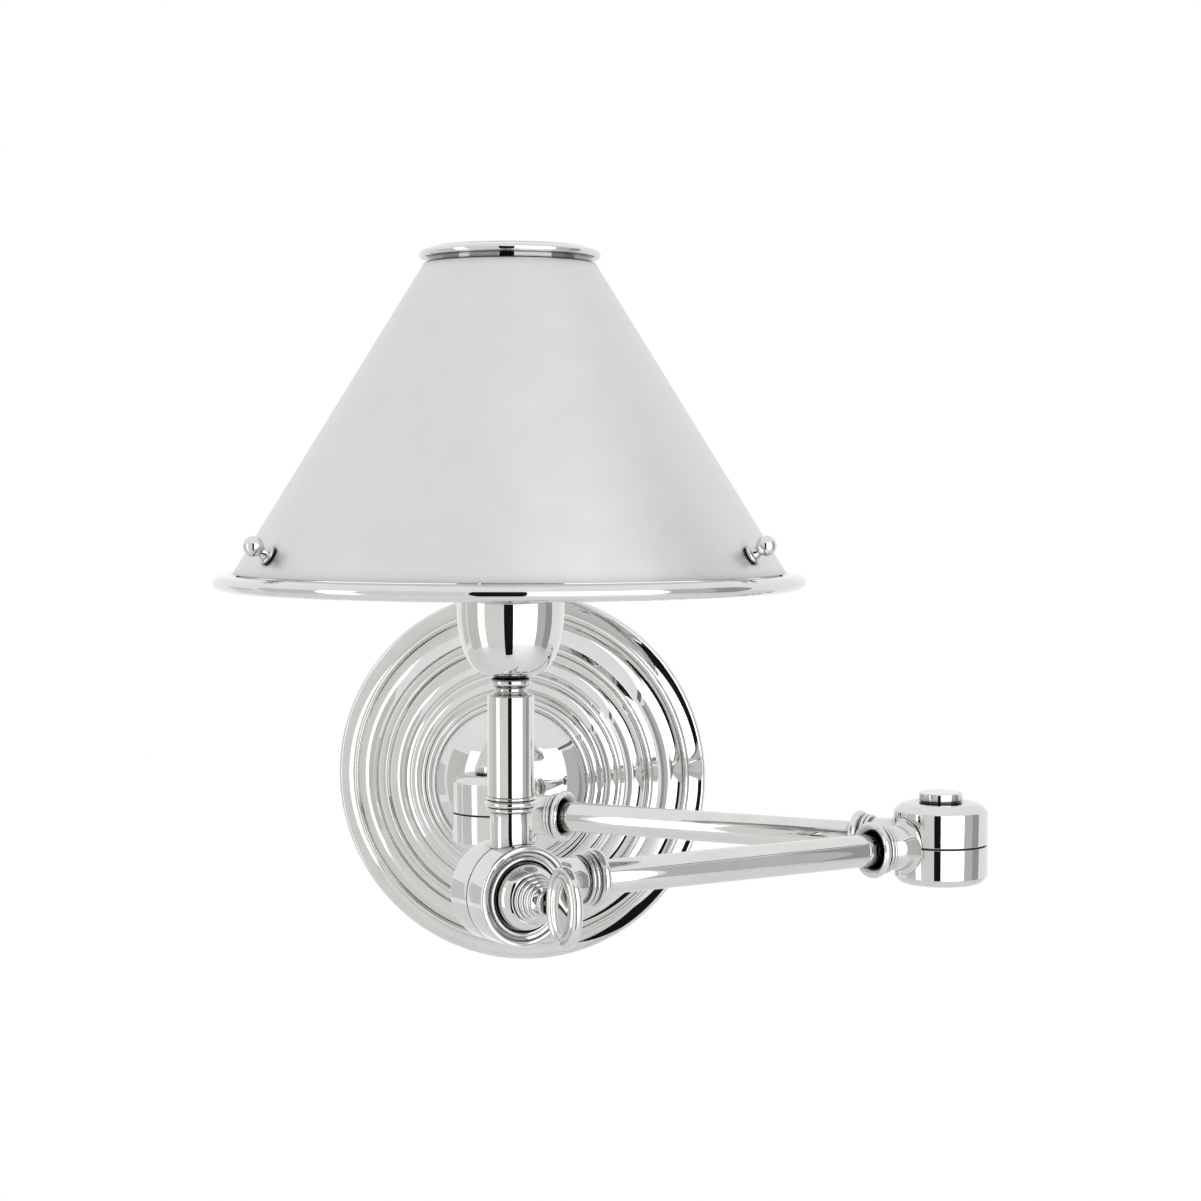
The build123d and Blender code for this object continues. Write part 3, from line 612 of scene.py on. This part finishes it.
def key_mesh():
    """Oval key: each side is an oval field of rings, from the rolled rim in to a dished middle."""
    half_t = KEY_THICK / 2
    profile = [  # distance in from the outline, height above the middle plane
        (0.0, 0.0), (0.25, half_t * 0.62), (0.8, half_t * 0.94), (1.3, half_t), (1.9, half_t * 0.9),
        (2.25, half_t * 0.62), (2.6, half_t * 0.62), (2.95, half_t * 0.88), (3.4, half_t * 0.92),
        (3.9, half_t * 0.66), (4.6, half_t * 0.42), (5.6, half_t * 0.34), (6.6, half_t * 0.3),
    ]
    verts, faces, rings = [], [], []
    for side in (1, -1):
        for inset, high in (profile if side > 0 else profile[1:]):
            ring_now = []
            for k in range(SEGMENTS):
                angle = 2 * pi * k / SEGMENTS
                tall, wide = KEY_TALL / 2 - inset, KEY_WIDE / 2 - inset
                ring_now.append(len(verts))
                verts.append((tall * cos(angle), side * high, KEY_MID + wide * sin(angle)))
            rings.append((side, ring_now))
    fronts = [r for side, r in rings if side > 0]
    backs = [fronts[0]] + [r for side, r in rings if side < 0]
    for chain in (fronts, backs):
        for a, b in zip(chain, chain[1:]):
            for k in range(SEGMENTS):
                n = (k + 1) % SEGMENTS
                faces.append((a[k], a[n], b[n], b[k]))
        faces.append(tuple(chain[-1]))
    return verts, faces


key_verts, key_faces = key_mesh()
new_piece("key_wing", key_verts, key_faces, at_drum, "key", NICKEL, "wing_key")
stem_low = rings_low + RINGS_H - 0.1
stem_high = KEY_MID - KEY_WIDE / 2 + 0.6
lathe(
    "key_stem",
    [(0.0, stem_low), (2.2, stem_low), (1.3, stem_low + 0.3, 1.5, stem_high), (0.0, stem_high)],
    at_drum, "key", NICKEL, "wing_key", radius=FINE_EDGE,
)


# ---------------------------------------------------------------- post and cup
low = FERRULE_TOP
lathe(
    "post_bead",
    [
        (NIPPLE_HOLE, low),
        (FERRULE_R, low),
        (FERRULE_R + 1.0, low + 0.8, FERRULE_R + 0.2, low + 1.5),
        (POST_R + 0.9, low + 2.5, POST_R - 0.1, low + 3.6),
        (POST_R + 0.4, low + 4.1, POST_R, POST_FOOT),
        (NIPPLE_HOLE, POST_FOOT),
    ],
    at_post, "head", NICKEL, "post_ring", radius=FINE_EDGE,
)
lathe(
    "post_column",
    [
        (POST_BORE, POST_FOOT),
        (POST_R, POST_FOOT),
        (POST_R, POST_TOP - 0.9),
        (POST_R - 0.2, POST_TOP - 0.2, POST_R - 0.9, POST_TOP),
        (POST_BORE, POST_TOP),
    ],
    at_post, "head", NICKEL, "post_tube", radius=FINE_EDGE,
)
lathe(
    "post_finial",
    [
        (NIPPLE_HOLE, POST_TOP),
        (6.3, POST_TOP),
        (5.1, POST_TOP + 0.9, 5.1, POST_TOP + 2.2),
        (5.4, POST_TOP + 2.6),
        (6.5, POST_TOP + 4.0, 5.4, POST_TOP + 5.4),
        (5.2, NECK_TOP),
        (NIPPLE_HOLE, NECK_TOP),
    ],
    at_post, "head", NICKEL, "post_neck", radius=FINE_EDGE,
)


def bell(inset):
    """Elliptical shoulder of the cup, from its foot to its straight wall."""
    wide, tall = CUP_R - CUP_FOOT_R - inset, CUP_SHOULDER - inset
    points = []
    for step in range(25):
        angle = pi / 2 * step / 24
        points.append((CUP_FOOT_R + wide * sin(angle), NECK_TOP + CUP_SHOULDER - tall * cos(angle)))
    return points


cup_outline = (
    [(NIPPLE_HOLE, NECK_TOP)]
    + bell(0.0)
    + [(CUP_R, CUP_TOP - 0.3), (CUP_R - 0.3, CUP_TOP), (CUP_R - CUP_WALL, CUP_TOP)]
    + bell(CUP_WALL)[::-1]
    + [(NIPPLE_HOLE, NECK_TOP + CUP_WALL)]
)
cup_verts, cup_faces = turned_mesh(cup_outline)
new_piece("cup_shell", cup_verts, cup_faces, at_post, "head", NICKEL, "socket_cup")


# ---------------------------------------------------------------- shade
cone_slope = (SHADE_FOOT_R - SHADE_HEAD_R) / (SHADE_HEAD - SHADE_FOOT)
cone_tilt = atan2(cone_slope, 1)
across = SHEET / cos(cone_tilt)
lathe(
    "shade_skin",
    [
        (SHADE_FOOT_R, SHADE_FOOT),
        (SHADE_HEAD_R, SHADE_HEAD),
        (SHADE_HEAD_R - 0.4, SHADE_HEAD + 0.5, SHADE_HEAD_R - 1.3, SHADE_HEAD + 0.6),
        (SHADE_HEAD_R - 1.3, SHADE_HEAD - 0.3),
        (SHADE_HEAD_R - across, SHADE_HEAD - 0.6),
        (SHADE_FOOT_R - across, SHADE_FOOT),
    ],
    at_post, "head", "shade_nickel", "shade_cone", segments=WIDE_SEGMENTS, radius=0.15,
)


def bead_outline():
    points = []
    for step in range(28):
        angle = 2 * pi * step / 28
        points.append((BEAD_MID_R + BEAD_HALF_W * cos(angle), BEAD_MID + BEAD_HALF_H * sin(angle)))
    return points


bead_verts, bead_faces = turned_mesh(bead_outline(), WIDE_SEGMENTS)
new_piece("shade_bead", bead_verts, bead_faces, at_post, "head", NICKEL, "shade_rim_bead")
inner = SHADE_HEAD_R - 3.4
low = SHADE_HEAD - 1.0
lathe(
    "shade_crown",
    [
        (inner, low),
        (SHADE_HEAD_R - 1.4, low),
        (SHADE_HEAD_R - 1.4, low + 3.0),
        (SHADE_HEAD_R + 0.4, low + 3.0),
        (SHADE_HEAD_R + 1.3, low + 4.2, SHADE_HEAD_R + 0.3, low + 5.3),
        (SHADE_HEAD_R - 2.0, low + 5.9),
        (inner - 0.4, low + 5.4, inner, low + 4.6),
    ],
    at_post, "head", NICKEL, "shade_top_collar", segments=WIDE_SEGMENTS, radius=TRIM_EDGE,
)
thumb_r = SHADE_FOOT_R - cone_slope * (SCREW_UP - SHADE_FOOT)
BALL_R, BALL_MID, NECK_R = 3.1, 5.9, 1.5
for number, azimuth in enumerate(THUMB_AZIMUTHS):
    spoke = Vector((cos(radians(azimuth)), sin(radians(azimuth)), 0))
    outward = spoke * cos(cone_tilt) + UP * sin(cone_tilt)
    foot = ARM_2_END + (spoke * thumb_r + UP * SCREW_UP) * MM
    lathe(
        f"thumb_screw_{number + 1}",
        [
            (0.0, -6.4),
            (1.4, -6.4),
            (1.88, -5.9),
            (1.88, 0.12),
            (2.6, 0.12),
            (3.1, 0.8, 2.6, 1.5),
            (2.0, 1.8),
            (NECK_R, BALL_MID - sqrt(BALL_R ** 2 - NECK_R ** 2)),
            (BALL_R, BALL_MID, 0.0, BALL_MID + BALL_R),
        ],
        frame_at(foot, outward, UP), "head", NICKEL, "shade_thumb_screws", segments=64, radius=FINE_EDGE,
    )


# ---------------------------------------------------------------- studio
STAGE_AT = Vector((0.06, -0.15, 0.0))
STAGE_TURN = 6.5            # degrees from -Y to the camera's side, about STAGE_AT


def plain_mesh(name, corners, material):
    mesh = bpy.data.meshes.new(name)
    mesh.from_pydata(corners, [], [(0, 1, 2, 3)])
    mesh.materials.append(material)
    piece = bpy.data.objects.new(name, mesh)
    bpy.context.scene.collection.objects.link(piece)
    return piece


def card(name, left, right, low, high, level, distance=1.0, tint=(1.0, 1.0, 1.0)):
    """Light card that only reflections and light see, given by the angles that it fills."""
    material = bpy.data.materials.new(name)
    material.use_nodes = True
    nodes = material.node_tree.nodes
    nodes.clear()
    glow = nodes.new("ShaderNodeEmission")
    glow.inputs["Color"].default_value = (*tint, 1)
    glow.inputs["Strength"].default_value = level
    out = nodes.new("ShaderNodeOutputMaterial")
    material.node_tree.links.new(glow.outputs["Emission"], out.inputs["Surface"])
    corners = []
    for side, lift in ((left, low), (right, low), (right, high), (left, high)):
        turn = radians(side + STAGE_TURN)
        rise = distance * sin(radians(lift)) / cos(radians(lift))
        corners.append(tuple(STAGE_AT + Vector((distance * sin(turn), -distance * cos(turn), rise))))
    piece = plain_mesh(name, corners, material)
    piece.visible_camera = False
    piece.visible_shadow = False


WARM = (1.0, 0.98, 0.96)
card("card_black", -13.0, 4.0, -50, 34, 0.01, distance=0.62)
card("card_white_right", -3.0, 30.0, -45, 34, 2.2)
card("card_white_right_far", 30.0, 56.0, -45, 34, 2.2)
card("card_grey_right", 57.0, 78.0, -48, 30, 0.6)
card("card_grey_right_far", 78.0, 98.0, -48, 30, 0.4, tint=WARM)
card("card_line_right_low", 50.0, 98.0, -56, -49, 0.08)
card("card_line_right_high", 50.0, 98.0, 31, 34, 0.2)
card("card_warm_left", -51.0, -14.0, -30, 36, 0.85, tint=WARM)
card("card_white_left", -67.0, -52.0, -24, 24, 2.0)
card("card_grey_left", -98.0, -68.0, -22, 20, 0.7, tint=WARM)
card("card_dark_left", -121.0, -102.0, -14, 6, 0.72)
card("card_line_left", -100.0, -16.0, -48, -42, 0.12)

floor_paint = dull("pale_floor", (0.80, 0.80, 0.80), (0.86, 0.86, 0.86), 0.8, 0.95)
FLOOR_Z = -0.45
floor_corners = [(x, y, FLOOR_Z) for x, y in ((-1.2, -1.6), (1.3, -1.6), (1.3, 0.7), (-1.2, 0.7))]
plain_mesh("floor", floor_corners, floor_paint)

world = bpy.data.worlds.new("studio")
world.use_nodes = True
backdrop = world.node_tree.nodes["Background"]
backdrop.inputs["Color"].default_value = (1.0, 1.0, 1.0, 1)
backdrop.inputs["Strength"].default_value = 1.0
bpy.context.scene.world = world
bpy.context.scene.view_settings.view_transform = "Standard"


# ---------------------------------------------------------------- camera
CAMERA_AT = Vector((0.1566, -0.9919, 0.1194))
CAMERA_YAW = -7.109         # degrees, towards +X from the line into the wall
CAMERA_PITCH = -2.70        # degrees, upwards
FRAME_PIXELS = 1201
FOCAL_PIXELS = 2439.0
lens = bpy.data.cameras.new("camera")
lens.sensor_width = 36.0
lens.lens = FOCAL_PIXELS / FRAME_PIXELS * lens.sensor_width
camera = bpy.data.objects.new("camera", lens)
bpy.context.scene.collection.objects.link(camera)
camera.location = CAMERA_AT
camera.rotation_euler = (radians(90 + CAMERA_PITCH), 0, radians(-CAMERA_YAW))
bpy.context.scene.camera = camera
